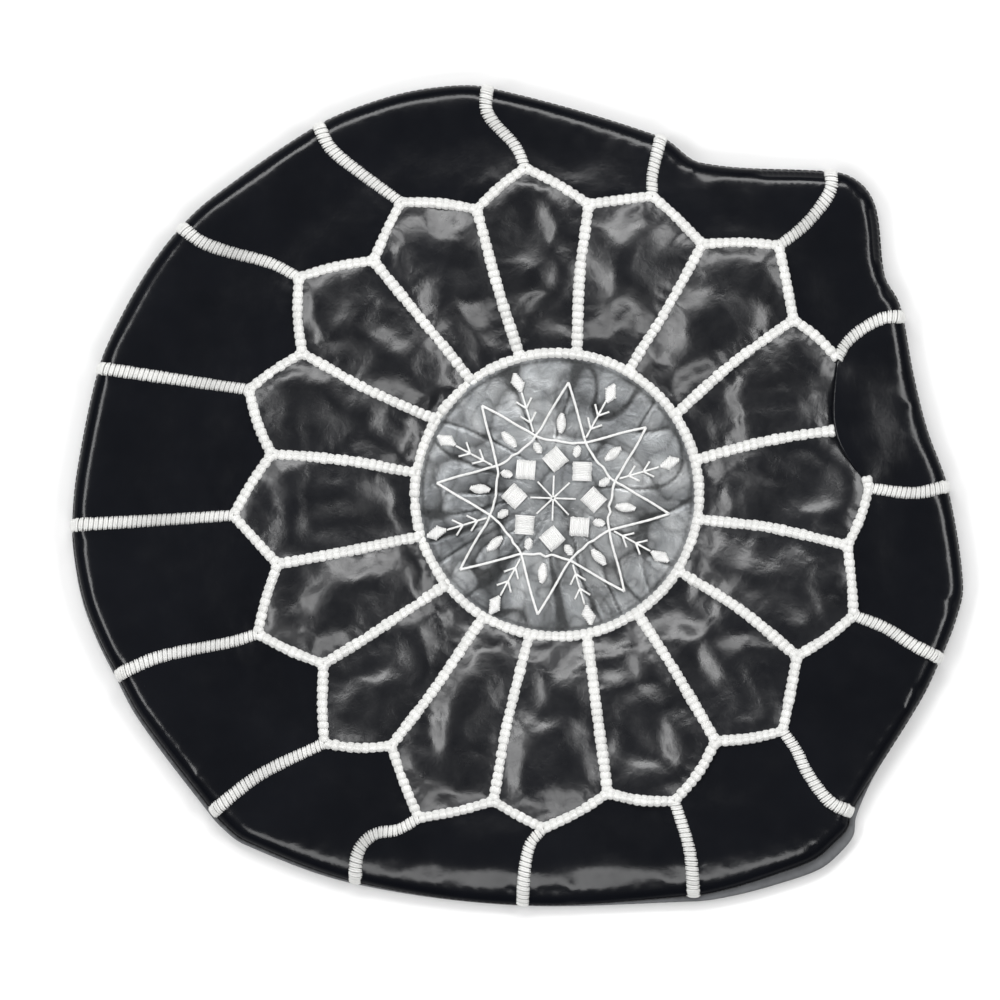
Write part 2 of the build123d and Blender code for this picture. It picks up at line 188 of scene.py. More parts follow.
def curve_through(points, spacing, closed=False):
    """Sample a smooth curve through points. Returns one array for each stretch, ends included."""
    points = [np.array(point) for point in points]
    total = len(points)
    headings = []
    for i, point in enumerate(points):
        before = points[i - 1] if i or closed else point
        after = points[(i + 1) % total] if i + 1 < total or closed else point
        headings.append((after - before) / np.linalg.norm(after - before))
    runs = []
    for i in range(total if closed else total - 1):
        start, end = points[i], points[(i + 1) % total]
        length = np.linalg.norm(end - start)
        steps = max(1, round(length / spacing))
        t = np.linspace(0, 1, steps + 1)[:, None]
        out, into = headings[i] * length, headings[(i + 1) % total] * length
        runs.append((2 * t**3 - 3 * t**2 + 1) * start + (t**3 - 2 * t**2 + t) * out
                    + (3 * t**2 - 2 * t**3) * end + (t**3 - t**2) * into)
    return runs


def joined(*runs):
    """Join runs end to end, without the repeated points."""
    return np.vstack([run[:-1] for run in runs[:-1]] + [runs[-1]])


def bowed(start, end, bow, spacing):
    """Sample a seam that bows to its left by a share of its length."""
    middle = (start + end) / 2
    along = end - start
    side = np.array([-along[1], along[0]])
    return joined(*curve_through([start, middle + bow * side, end], spacing))


low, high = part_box("ring_braid")
CENTRE = np.array([(low.x + high.x) / 2, (low.y + high.y) / 2])
RING_TOP = low.z


class Seams:
    """The network of seams in plan. Segment n has spoke n, then petal n's point and side seam n."""

    def __init__(self):
        petals = [f"petal_{n:02d}" for n in range(1, COUNT + 1)]
        sides = [f"side_panel_{n:02d}" for n in range(1, COUNT + 1)]
        self.spokes, self.outward, self.inward, self.sides, self.arcs = [], [], [], [], []
        self.valleys, self.tips, rims = [], [], []
        for n in range(COUNT):
            after = (n + 1) % COUNT
            spoke = meeting(petals[n - 1], petals[n])
            side = corners(meeting(sides[n], sides[after]))
            self.spokes.append([spoke[0], spoke[-1]])
            self.sides.append(joined(*curve_through(side, SEAM_SPACING)))
            self.valleys.append(spoke[-1])
            self.tips.append(side[0])
            rims.append(rim_corners(sides[n]))
        radius = np.linalg.norm(self.spokes[0][0] - CENTRE)
        self.radius = radius
        for n in range(COUNT):
            after = (n + 1) % COUNT
            bows = RANDOM.uniform(0.0, 0.05, 2)
            self.outward.append(bowed(self.valleys[n], self.tips[n], bows[0], SEAM_SPACING))
            self.inward.append(bowed(self.tips[n], self.valleys[after], bows[1], SEAM_SPACING))
            first, last = bearing(self.spokes[n][0]), bearing(self.spokes[after][0])
            turn = (first - last) % math.tau
            steps = round(radius * turn / SEAM_SPACING)
            angles = first - np.linspace(0, turn, steps + 1)
            self.arcs.append(CENTRE + radius * np.column_stack([np.cos(angles), np.sin(angles)]))
        self.spokes = [bowed(run[0], run[1], RANDOM.uniform(-0.02, 0.03), SEAM_SPACING)
                       for run in self.spokes]
        outline = [point for rim in rims for point in rim[:-1]]
        runs = curve_through(outline, SEAM_SPACING, closed=True)
        self.rims = []
        for rim in rims:
            self.rims.append(joined(*runs[:len(rim) - 1]))
            runs = runs[len(rim) - 1:]
        self.rim = np.vstack([rim[:-1] for rim in self.rims])

    def fold(self):
        """Give the edge of the pleat, from the petal's point before it to the one after."""
        n = PLEATED - 1
        inwards = CENTRE - self.valleys[n]
        edge = self.valleys[n] + PLEAT_REACH * inwards / np.linalg.norm(inwards)
        return joined(*curve_through([self.tips[n - 1], edge, self.tips[n]], SEAM_SPACING))

    def petal(self, n):
        after = (n + 1) % COUNT
        return joined(self.spokes[n], self.outward[n], self.inward[n],
                      self.spokes[after][::-1], self.arcs[n][::-1])[:-1]

    def side(self, n):
        top = joined(self.inward[n - 1], self.outward[n])
        if n == PLEATED - 1:
            top = self.fold()
        return joined(top, self.sides[n], self.rims[n][::-1], self.sides[n - 1][::-1])[:-1]

    def inside_rim(self, insets):
        """List places that follow the outline at each inset."""
        inwards = CENTRE - self.rim
        inwards /= np.linalg.norm(inwards, axis=1)[:, None]
        return np.vstack([self.rim + inset * inwards for inset in insets])


seams = Seams()


# Heights


def tree_of(points, faces):
    return BVHTree.FromPolygons([Vector(point) for point in points], faces)


def cad_skin():
    """Make the tree that finds the CAD top's height."""
    points, faces = [], []
    for name, node in frame["nodes"].items():
        if name.startswith(("petal_0", "petal_1", "side_panel", "medallion")):
            first = len(points)
            points += [vertex.co.copy() for vertex in node.data.vertices]
            faces += [[first + i for i in face.vertices] for face in node.data.polygons]
    return BVHTree.FromPolygons(points, faces)


def tree_in_plan(points):
    """Make a tree that finds the nearest of these places in plan."""
    tree = KDTree(len(points))
    for i, point in enumerate(points):
        tree.insert((point[0], point[1], 0), i)
    tree.balance()
    return tree


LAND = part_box("side_panel_01")[0].z
skin = cad_skin()
rim_tree = tree_in_plan(seams.rim)


def from_rim(point):
    """Give a place's distance from the outline, in plan."""
    return rim_tree.find((point[0], point[1], 0))[2]


def height_on(tree, point):
    hit = tree.ray_cast(Vector((point[0], point[1], SKY)), Vector((0, 0, -1)))[0]
    return hit.z if hit else tree.find_nearest(Vector((point[0], point[1], LAND)))[0].z


def ripple(point, size, seed):
    """Give smooth noise from -1 to 1 over the plan."""
    return noise.noise(Vector((point[0] / size, point[1] / size, seed)))


def eased(share):
    share = min(max(share, 0), 1)
    return share * share * (3 - 2 * share)


def top_height(point):
    """Give the resting height of the top: a turned, rounded edge, then up to the CAD skin."""
    away = from_rim(point)
    front = math.exp(-(math.remainder(bearing(point) + math.pi / 2, math.tau) / 0.7)**2)
    width = ROLL_WIDTH + front * (FRONT_ROLL_WIDTH - ROLL_WIDTH)
    rounded = ROLL_STEEPNESS * width
    wall = (EDGE_RISE - rounded) * min(away / WALL_WIDTH, 1)
    roll = rounded * (1 - (1 - min(away / width, 1))**2)
    level = height_on(skin, point) + 1.6 * MM * ripple(point, 70 * MM, 3.1)
    slope = min(away / SLOPE_WIDTH, 1) * (level - LAND - EDGE_RISE)
    return LAND + wall + roll + slope


# Meshes


def in_plan(points, border):
    """Say which points lie inside a closed border."""
    inside = np.zeros(len(points), bool)
    for (x0, y0), (x1, y1) in zip(border, np.roll(border, -1, axis=0)):
        if y0 == y1:
            continue
        crosses = (points[:, 1] < y0) != (points[:, 1] < y1)
        inside ^= crosses & (points[:, 0] < x0 + (points[:, 1] - y0) * (x1 - x0) / (y1 - y0))
    return inside


def filled(border, spacing, extra=None):
    """Fill a plan border with even triangles. The border's points come first in the result."""
    low, high = border.min(axis=0), border.max(axis=0)
    rows = np.arange(low[1], high[1], spacing * math.sqrt(3) / 2)
    lattice = [(x + spacing / 2 * (i % 2), y) for i, y in enumerate(rows)
               for x in np.arange(low[0], high[0], spacing)]
    kept = list(border)
    if extra is not None:
        near = tree_in_plan(border)
        extra = extra[in_plan(extra, border)]
        kept += [point for point in extra if near.find((point[0], point[1], 0))[2] > 0.15 * spacing]
    tree = tree_in_plan(kept)
    lattice = np.array(lattice)
    lattice = lattice[in_plan(lattice, border)]
    lattice = [point for point in lattice
               if tree.find((point[0], point[1], 0))[2] > 0.6 * spacing]
    points = kept + lattice
    edges = [(i, (i + 1) % len(border)) for i in range(len(border))]
    _, _, faces, origins, _, _ = delaunay_2d_cdt(
        [Vector(point) for point in points], edges, [], 1, 1e-7)
    order = {i: origin[0] for i, origin in enumerate(origins) if origin}
    faces = [[order[i] for i in face] for face in faces if all(i in order for i in face)]
    return np.array(points), faces


class Mesh:
    """A growing mesh, with a thread direction for each corner and a tone for each point."""

    def __init__(self):
        self.points, self.faces, self.tones, self.strands = [], [], [], []

    def add(self, points, faces, tone=1.0, strands=None):
        """Add a form, with one tone and its places along and round a strand."""
        first = len(self.points)
        self.points += [tuple(point) for point in points]
        self.faces += [[first + i for i in face] for face in faces]
        self.tones += [tone] * len(points)
        self.strands += list(strands) if strands is not None else [(0.0, 0.0)] * len(points)

    def piece(self, name, material):
        mesh = bpy.data.meshes.new(name)
        mesh.from_pydata([Vector(point) for point in self.points], [], self.faces)
        mesh.polygons.foreach_set("use_smooth", [True] * len(mesh.polygons))
        tone = mesh.attributes.new("tone", "FLOAT", "POINT")
        tone.data.foreach_set("value", np.array(self.tones, np.float32))
        layer = mesh.uv_layers.new(name="strand")
        loops = np.zeros(len(mesh.loops), np.int32)
        mesh.loops.foreach_get("vertex_index", loops)
        layer.data.foreach_set("uv", np.array(self.strands, np.float32)[loops].ravel())
        mesh.materials.append(material)
        piece = bpy.data.objects.new(name, mesh)
        bpy.context.scene.collection.objects.link(piece)
        return piece


def grid_faces(rows, columns, closed=False):
    """List the quads of a grid of points; closed joins each row's end to its start."""
    faces = []
    for r in range(rows - 1):
        for c in range(columns if closed else columns - 1):
            d = (c + 1) % columns
            faces.append([r * columns + c, r * columns + d, (r + 1) * columns + d, (r + 1) * columns + c])
    return faces


def tube(path, radii, sides, up=(0, 0, 1)):
    """Make a tube along a path. Returns points, faces and strand coordinates."""
    path = np.array(path, float)
    radii = np.broadcast_to(radii, len(path))
    along = np.gradient(path, axis=0)
    along /= np.linalg.norm(along, axis=1)[:, None]
    across = np.cross(np.array(up, float), along)
    across /= np.linalg.norm(across, axis=1)[:, None]
    above = np.cross(along, across)
    angles = np.linspace(0, math.tau, sides, endpoint=False)
    points, strands = [], []
    reach = 0.0
    for i, centre in enumerate(path):
        if i:
            reach += np.linalg.norm(centre - path[i - 1])
        for k, angle in enumerate(angles):
            points.append(centre + radii[i] * (math.cos(angle) * across[i] + math.sin(angle) * above[i]))
            strands.append((reach / MM, abs(k * 2 / sides - 1)))
    faces = grid_faces(len(path), sides, closed=True)
    faces.append(list(range(sides))[::-1])
    faces.append([(len(path) - 1) * sides + k for k in range(sides)])
    return points, faces, strands


# Materials


def material(name, rough, **sockets):
    """Start a material. Returns it with its node tree, its shader and the object's coordinates."""
    made = bpy.data.materials.new(name)
    made.use_nodes = True
    tree = made.node_tree
    shader = tree.nodes["Principled BSDF"]
    shader.inputs["Roughness"].default_value = rough
    for socket, value in sockets.items():
        shader.inputs[socket.replace("_", " ")].default_value = value
    return made, tree, shader, node(tree, "ShaderNodeTexCoord").outputs["Object"]


def feed(tree, socket, value):
    """Give a socket a number or colour, or a link from another socket."""
    if isinstance(value, bpy.types.NodeSocket):
        tree.links.new(value, socket)
    else:
        socket.default_value = value


def node(tree, kind, **inputs):
    """Add a node; names with a capital are sockets and the rest are settings."""
    made = tree.nodes.new(kind)
    for key, value in inputs.items():
        if key[0].isupper():
            feed(tree, made.inputs[key.replace("_", " ")], value)
        else:
            setattr(made, key, value)
    return made


def computed(tree, operation, *values):
    """Add a math node over values, each a number or a socket."""
    made = node(tree, "ShaderNodeMath", operation=operation)
    for socket, value in zip(made.inputs, values):
        feed(tree, socket, value)
    return made.outputs[0]


def ramp(tree, factor, stops):
    """Map a value through colour stops, each a position and a colour."""
    made = node(tree, "ShaderNodeValToRGB", Fac=factor)
    while len(made.color_ramp.elements) < len(stops):
        made.color_ramp.elements.new(0.5)
    for element, (position, colour) in zip(made.color_ramp.elements, stops):
        element.position = position
        element.color = (*colour, 1)
    return made.outputs["Color"]


def grey(value, tint=(1.0, 1.0, 1.0)):
    return tuple(value * part for part in tint)


def pattern(tree, place, size, detail=3.0, roughness=0.55, distortion=0.0):
    """Add noise whose features are about a size across."""
    return node(tree, "ShaderNodeTexNoise", Vector=place, Scale=0.5 / size, Detail=detail,
                Roughness=roughness, Distortion=distortion).outputs["Fac"]


def cells(tree, place, size):
    """Add a net of cells, as the distance to their edges."""
    return node(tree, "ShaderNodeTexVoronoi", feature="DISTANCE_TO_EDGE", Vector=place,
                Scale=1 / size).outputs["Distance"]


def bumped(tree, shader, layers):
    """Stack bumps on a shader, each a height, a strength and a depth in metres."""
    normal = None
    for height, strength, depth in layers:
        made = node(tree, "ShaderNodeBump", Height=height, Strength=strength, Distance=depth)
        if normal:
            tree.links.new(normal, made.inputs["Normal"])
        normal = made.outputs["Normal"]
    tree.links.new(normal, shader.inputs["Normal"])


def toned(tree, colour, shader):
    """Scale a shader's colour by the mesh's tone at each point: each stitch's own tone, and painted shade
    on the medallion and the braids.
    """
    tone = node(tree, "ShaderNodeAttribute", attribute_name="tone").outputs["Fac"]
    shaded = node(tree, "ShaderNodeVectorMath", operation="SCALE", Scale=tone)
    tree.links.new(colour, shaded.inputs[0])
    tree.links.new(shaded.outputs[0], shader.inputs["Base Color"])


def black_leather(name, rough, gloss, crinkled):
    """Black leather: fine pebble grain, soft crinkles, and a gloss that the mesh's tone scales."""
    made, tree, shader, place = material(name, rough, Coat_Roughness=0.16)
    tone = node(tree, "ShaderNodeAttribute", attribute_name="tone").outputs["Fac"]
    for socket, most in (("Specular IOR Level", gloss), ("Coat Weight", 0.3 * gloss)):
        feed(tree, shader.inputs[socket], computed(tree, "MULTIPLY", tone, most))
    cloudy = pattern(tree, place, 30 * MM, detail=5)
    colour = ramp(tree, cloudy, [(0.3, grey(0.0045, (0.86, 0.98, 1.4))),
                                 (0.7, grey(0.007, (0.88, 0.98, 1.35)))])
    feed(tree, shader.inputs["Base Color"], colour)
    dull = ramp(tree, pattern(tree, place, 9 * MM, detail=6),
                [(0.3, grey(rough * 0.78)), (0.75, grey(rough * 1.27))])
    feed(tree, shader.inputs["Roughness"], dull)
    pebbles = cells(tree, place, 0.9 * MM)
    crinkle = pattern(tree, place, 2.6 * MM, detail=4, roughness=0.6, distortion=0.8)
    soft = pattern(tree, place, 16 * MM, detail=2, distortion=0.3)
    bumped(tree, shader, [(soft, 0.3 * crinkled, 0.8 * MM), (crinkle, 0.6 * crinkled, 0.35 * MM),
                          (pebbles, 0.2, 0.06 * MM)])
    return made


def silver_leather():
    """Silver-grey metallic leather; the mesh's tone paints shade into its creases and along the ring."""
    made, tree, shader, place = material("silver_leather", 0.38, Metallic=0.7)
    cloudy = pattern(tree, place, 22 * MM, detail=8, roughness=0.62, distortion=0.8)
    colour = ramp(tree, cloudy, [(0.3, grey(0.2, (0.95, 1.0, 1.06))),
                                 (0.5, grey(0.42, (0.96, 1.0, 1.03))),
                                 (0.7, grey(0.72, (0.98, 1.0, 1.01)))])
    # The medallion's tone darkens this colour as painted shade.
    toned(tree, colour, shader)
    wrinkle = pattern(tree, place, 7 * MM, detail=8, roughness=0.65, distortion=0.5)
    fine = cells(tree, place, 1.3 * MM)
    grain = pattern(tree, place, 1.2 * MM, detail=5, roughness=0.7)
    bumped(tree, shader, [(wrinkle, 0.7, 1.4 * MM), (grain, 0.5, 0.3 * MM), (fine, 0.25, 0.12 * MM)])
    return made


def base_leather():
    """Matt charcoal leather of the base, scuffed lighter in patches."""
    made, tree, shader, place = material("base_leather", 0.6)
    scuff = pattern(tree, place, 18 * MM, detail=7, roughness=0.7)
    colour = ramp(tree, scuff, [(0.35, grey(0.1, (0.95, 0.98, 1.05))),
                                (0.8, grey(0.18, (0.96, 1.0, 1.04)))])
    feed(tree, shader.inputs["Base Color"], colour)
    bumped(tree, shader, [(pattern(tree, place, 6 * MM, detail=6), 0.5, 0.8 * MM),
                          (cells(tree, place, 0.8 * MM), 0.3, 0.08 * MM)])
    return made


def thread(name, dark, light, rough=0.75):
    """Twisted thread: plies run along each stitch, and each stitch has its own tone, with painted shade in
    the braids' gaps and grey seam stretches.
    """
    made, tree, shader, place = material(name, rough, Sheen_Weight=0.15)
    strand = node(tree, "ShaderNodeUVMap", uv_map="strand").outputs["UV"]
    plies = node(tree, "ShaderNodeTexWave", Vector=strand, bands_direction="DIAGONAL", Scale=1.6,
                 Distortion=1.2, Detail=2.0).outputs["Fac"]
    fuzz = pattern(tree, place, 0.7 * MM, detail=5, roughness=0.7)
    fibre = computed(tree, "MULTIPLY_ADD", plies, 0.45, fuzz)
    colour = ramp(tree, fibre, [(0.25, dark), (0.75, light)])
    toned(tree, colour, shader)
    bumped(tree, shader, [(fibre, 0.7, 0.25 * MM)])
    return made


def woven_tape():
    """Woven zip tape, with ribs across it."""
    made, tree, shader, place = material("zip_tape", 0.85, Sheen_Weight=0.2)
    ribs, rows = [node(tree, "ShaderNodeTexWave", Vector=place, bands_direction=way,
                       Scale=0.05 / MM).outputs["Fac"] for way in "XY"]
    weave = computed(tree, "MULTIPLY", ribs, rows)
    feed(tree, shader.inputs["Base Color"], ramp(tree, weave, [(0.1, grey(0.008)), (0.9, grey(0.03))]))
    bumped(tree, shader, [(weave, 0.6, 0.15 * MM)])
    return made


def moulded(name, value, rough, metallic):
    """Moulded teeth or painted metal, with faint scratches and duller patches."""
    made, tree, shader, place = material(name, rough, Metallic=metallic)
    wear_and_shade = pattern(tree, place, 2.5 * MM, detail=8, roughness=0.7)
    feed(tree, shader.inputs["Base Color"],
         ramp(tree, wear_and_shade, [(0.35, grey(value * 0.7)), (0.8, grey(value * 1.6))]))
    feed(tree, shader.inputs["Roughness"],
         ramp(tree, wear_and_shade, [(0.3, grey(rough * 0.8)), (0.8, grey(rough * 1.3))]))
    bumped(tree, shader, [(wear_and_shade, 0.3, 0.05 * MM)])
    return made


BLACK = black_leather("black_leather", 0.31, 0.7, 1.0)
SIDE_BLACK = black_leather("smooth_black_leather", 0.19, 0.32, 0.4)
SILVER = silver_leather()
CHARCOAL = base_leather()
WHITE_THREAD = thread("white_thread", grey(0.66, (1.0, 1.0, 0.97)), grey(0.93, (1.0, 1.0, 0.98)))
SATIN_THREAD = thread("satin_thread", grey(0.86, (1.0, 1.0, 0.98)), grey(0.97, (1.0, 1.0, 0.99)), 0.55)
DARK_THREAD = thread("dark_thread", grey(0.015), grey(0.04))
ZIP_MATERIALS = {"zip_tape": woven_tape(),
                 "zip_plastic": moulded("zip_plastic", 0.03, 0.45, 0.0),
                 "zip_metal": moulded("zip_metal", 0.06, 0.38, 0.6)}


# The top's leather


class Leather:
    """All panels of the top as one sheet to simulate, with each point's panel and rest data."""

    def __init__(self):
        self.points, self.faces, self.owners = [], [], []
        self.pinned, self.slack, self.names = [], [], []

    def add(self, name, points, faces, pinned, slack):
        first = len(self.points)
        self.points += [tuple(point) for point in points]
        self.faces += [[first + i for i in face] for face in faces]
        self.owners += [len(self.names)] * len(faces)
        self.pinned += list(pinned)
        self.slack += [slack] * len(points)
        self.names.append(name)

    def panel(self, name, border, spacing, slack, height, extra=None):
        """Add a leather panel that fills a border, pinned along it."""
        plan, faces = filled(border, spacing, extra)
        points = [(x, y, height((x, y))) for x, y in plan]
        pinned = [i < len(border) for i in range(len(points))]
        self.add(name, points, faces, pinned, slack)

    def settled(self):
        """Run the cloth simulation, and return where every point ends."""
        mesh = bpy.data.meshes.new("settling")
        mesh.from_pydata(self.points, [], self.faces)
        piece = bpy.data.objects.new("settling", mesh)
        bpy.context.scene.collection.objects.link(piece)
        held = piece.vertex_groups.new(name="held")
        held.add([i for i, pin in enumerate(self.pinned) if pin], 1.0, "ADD")
        taut = piece.vertex_groups.new(name="taut")
        for i, slack in enumerate(self.slack):
            taut.add([i], 1.0 - slack / PETAL_SLACK, "REPLACE")
        cloth = piece.modifiers.new("Cloth", "CLOTH")
        for key, value in CLOTH.items():
            setattr(cloth.settings, key, value)
        cloth.settings.effector_weights.gravity = 0.0
        cloth.collision_settings.use_collision = False
        cloth.collision_settings.use_self_collision = False
        cloth.point_cache.frame_start = 1
        cloth.point_cache.frame_end = SETTLE_FRAMES
        for step in range(1, SETTLE_FRAMES + 1):
            bpy.context.scene.frame_set(step)
        shown = piece.evaluated_get(bpy.context.evaluated_depsgraph_get()).to_mesh()
        ends = np.zeros(len(self.points) * 3)
        shown.vertices.foreach_get("co", ends)
        bpy.data.objects.remove(piece)
        bpy.context.scene.frame_set(1)
        return ends.reshape(-1, 3)


def crumpled(point, strength):
    """Give the small uneven lift that starts the leather's creases."""
    return strength * (ripple(point, 38 * MM, 1.7) + 0.4 * ripple(point, 17 * MM, 5.3))


def petal_height(point):
    return top_height(point) + crumpled(point, 2.4 * MM)


def side_height(point):
    return top_height(point) + crumpled(point, 0.5 * MM)


def medallion_height(point):
    return RING_TOP - 0.6 * MM + crumpled(point, 0.8 * MM)


def pleat_lift(point, fold_tree, fold_steps):
    """Give how far the pleat holds the leather up: most along the middle of its fold."""
    _, index, away = fold_tree.find((point[0], point[1], 0))
    along = index / fold_steps
    fade = min(max((away - 16 * MM) / (30 * MM), 0), 1)
    return PLEAT_LIFT * math.sqrt(max(math.sin(math.pi * along), 0)) * (1 - fade * fade * (3 - 2 * fade))


def pleat_roll(fold):
    """Make the leather that turns under at the fold and runs back to the petals' edge."""
    n = PLEATED - 1
    hidden = joined(seams.inward[n - 1], seams.outward[n])
    share = np.linspace(0, len(hidden) - 1, len(fold))
    whole = np.minimum(share.astype(int), len(hidden) - 2)
    back = hidden[whole] + (share - whole)[:, None] * (hidden[whole + 1] - hidden[whole])
    fold_tree = tree_in_plan(fold)
    rows = []
    for turn in np.linspace(0, math.pi, 7):
        row = []
        for place in fold:
            lift = pleat_lift(place, fold_tree, len(fold) - 1)
            outwards = CENTRE - place
            outwards = outwards / np.linalg.norm(outwards)
            x, y = place + 0.5 * lift * math.sin(turn) * outwards
            row.append((x, y, side_height(place) + 0.5 * lift * (1 + math.cos(turn))))
        rows.append(row)
    for share in (0.35, 0.7, 1.0):
        rows.append([(*(place + share * (end - place)), side_height(place + share * (end - place)))
                     for place, end in zip(fold, back)])
    points = [point for row in rows for point in row]
    return points, [face[::-1] for face in grid_faces(len(rows), len(fold))]


def softened(points, leather):
    """Ease the settled leather's small wrinkles, with its seams kept in place."""
    pairs = np.array([pair for face in leather.faces for pair in zip(face, face[1:] + face[:1])])
    loose = ~np.array(leather.pinned)
    count = np.bincount(pairs[:, 0], minlength=len(points)).clip(1)
    for _ in range(SOFTENING_ROUNDS):
        near = np.bincount(pairs[:, 0], points[pairs[:, 1], 2], len(points)) / count
        points[loose, 2] = near[loose]
    return points


def lay_leather():
    """Build all panels, settle them together and return the leather with its end places."""
    leather = Leather()
    fold = seams.fold()
    fold_tree = tree_in_plan(fold)
    edge_rows = seams.inside_rim([WALL_WIDTH, 3.5 * MM, 6.5 * MM, 10 * MM])

    def pleated_height(point):
        return side_height(point) + pleat_lift(point, fold_tree, len(fold) - 1)

    for n in range(COUNT):
        leather.panel(f"petal_{n + 1:02d}", seams.petal(n), SHEET_SPACING, PETAL_SLACK, petal_height)
        height = pleated_height if n == PLEATED - 1 else side_height
        leather.panel(f"side_panel_{n + 1:02d}", seams.side(n), SHEET_SPACING, SIDE_SLACK, height,
                      edge_rows)
    disc = joined(*seams.arcs)[:-1]
    disc = CENTRE + (disc - CENTRE) * (seams.radius - 0.5 * MM) / seams.radius
    leather.panel("medallion", disc, MEDALLION_SPACING, MEDALLION_SLACK, medallion_height)
    starts = np.array(leather.points)
    ends = leather.settled()
    ends = softened(ends, leather)
    ends[:, 2] = np.minimum(ends[:, 2], starts[:, 2] + TALLEST)
    points, faces = pleat_roll(fold)
    leather.add("pleat_roll", points, faces, [True] * len(points), 0.0)
    return leather, np.vstack([ends, points])


def placed(piece, node):
    """Put a piece on the cover's body in its CAD node's stead."""
    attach(piece, "root")
    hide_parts(node)


def applied(piece):
    """Turn a piece's modifiers into its mesh."""
    shown = piece.evaluated_get(bpy.context.evaluated_depsgraph_get())
    mesh = bpy.data.meshes.new_from_object(shown)
    piece.modifiers.clear()
    piece.data = mesh


def smooth_rim(mesh):
    """Even out the ripples that the triangles leave along the rounded edge, with the seams kept."""
    heights = np.array([vertex.co.z for vertex in mesh.vertices])
    away = np.array([from_rim(vertex.co) for vertex in mesh.vertices])
    edges = np.array([edge.vertices for edge in mesh.edges])
    sharing = np.bincount([loop.edge_index for loop in mesh.loops], minlength=len(edges))
    loose = (away > RIM_CLEAR) & (away < RIM_REACH)
    loose[edges[sharing == 1].ravel()] = False
    pairs = np.vstack([edges, edges[:, ::-1]])
    count = np.bincount(pairs[:, 0], minlength=len(heights)).clip(1)
    for _ in range(RIM_ROUNDS):
        near = np.bincount(pairs[:, 0], heights[pairs[:, 1]], len(heights)) / count
        heights[loose] = near[loose]
    for vertex, height in zip(mesh.vertices, heights):
        vertex.co.z = height


def finished_sheet(piece, thickness, offset, wrinkles=None):
    """Weld and smooth a leather panel, wrinkle it, and give it its thickness."""
    weld = piece.modifiers.new("Weld", "WELD")
    weld.merge_threshold = 0.05 * MM
    smooth = piece.modifiers.new("Smooth", "SUBSURF")
    smooth.levels = 1
    applied(piece)
    if wrinkles is side_wrinkles:
        smooth_rim(piece.data)
    if wrinkles:
        for vertex in piece.data.vertices:
            vertex.co.z += wrinkles(vertex.co)
    thick = piece.modifiers.new("Thickness", "SOLIDIFY")
    thick.thickness = thickness
    thick.offset = offset
    applied(piece)


seam_tree = tree_in_plan(np.vstack([*seams.spokes, *seams.outward, *seams.inward, *seams.sides,
                                    *seams.arcs]))


def creases(point, size, seed):
    """Give sharp-edged creases from 0 to 1."""
    bend = size * 0.8
    x = point[0] + bend * ripple(point, 2.2 * size, seed + 9)
    y = point[1] + bend * ripple(point, 2.2 * size, seed + 4)
    return (1 - abs(ripple((x, y), size, seed)) * 2.2)


def wrinkles(point):
    """Give the fine height of the leather: puckers at the seams, soft creases between."""
    _, index, away = seam_tree.find((point[0], point[1], 0))
    pucker = math.exp(-away / (7 * MM)) * min(away / (2.5 * MM), 1)
    phase = index * 2.3 + 3 * ripple(point, 18 * MM, 2.2)
    held = min(away / (9 * MM), 1)
    uneven = 0.5 + 0.5 * ripple(point, 45 * MM, 8.8)
    soft = max(creases(point, 26 * MM, 4.4), 0) ** 3
    return (0.35 * MM * pucker * math.sin(phase)
            + held * (0.6 * MM * soft * uneven + 0.12 * MM * ripple(point, 7 * MM, 6.1)))


def side_wrinkles(point):
    """Give a side panel's fine height: a few puckers close to the petals' edge."""
    away = from_rim(point)
    return eased((away - 30 * MM) / (50 * MM)) * 0.5 * wrinkles(point)


def medallion_creases(point):
    """Give the depth from 0 to 1 of the medallion's creases: some run out from the middle."""
    away = math.hypot(point[0] - CENTRE[0], point[1] - CENTRE[1])
    edge = min((seams.radius - away) / (8 * MM), 1)
    across = (seams.radius * bearing(point) / 1.6, away * 0.35)
    spokes = max(creases(across, 20 * MM, 1.9), 0) ** 4 * eased(away / (50 * MM))
    broad = max(creases(point, 34 * MM, 7.7), 0) ** 3
    return edge * min(spokes + 0.7 * broad, 1)


def medallion_wrinkles(point):
    """Give the medallion's height over its settled cloth."""
    return 0.35 * MM * ripple(point, 8 * MM, 2.6) - 1.5 * MM * medallion_creases(point)


def medallion_tone(point):
    """Paint shade into the medallion's colour: darker in the creases and along the ring."""
    away = seams.radius - math.hypot(point[0] - CENTRE[0], point[1] - CENTRE[1])
    # Painted shade in a band just inside the ring, and in the creases below.
    groove = math.exp(-((away - 5.2 * MM) / (1.3 * MM))**2)
    crossed = max(creases(point, 15 * MM, 5.9), 0) ** 5
    # How deep the ring's painted shade is, varying round the ring.
    wear_and_shade = 0.5 + 0.5 * ripple(point, 30 * MM, 6.6)
    return ((1 - groove * (0.35 + 0.5 * wear_and_shade)) * (1 - 0.8 * medallion_creases(point))
            * (1 - 0.45 * crossed))


def side_tone(point):
    """Dull the gloss of a side panel along the rim, where its leather is pulled over the edge."""
    away = from_rim(point)
    return 0.12 + 0.88 * eased((away - 4 * MM) / (3.5 * MM))


TONES = {"side": side_tone, "medallion": medallion_tone}
WRINKLES = {"petal": wrinkles, "side": side_wrinkles, "medallion": medallion_wrinkles}
LEATHERS = {"petal": BLACK, "side": SIDE_BLACK, "medallion": SILVER}


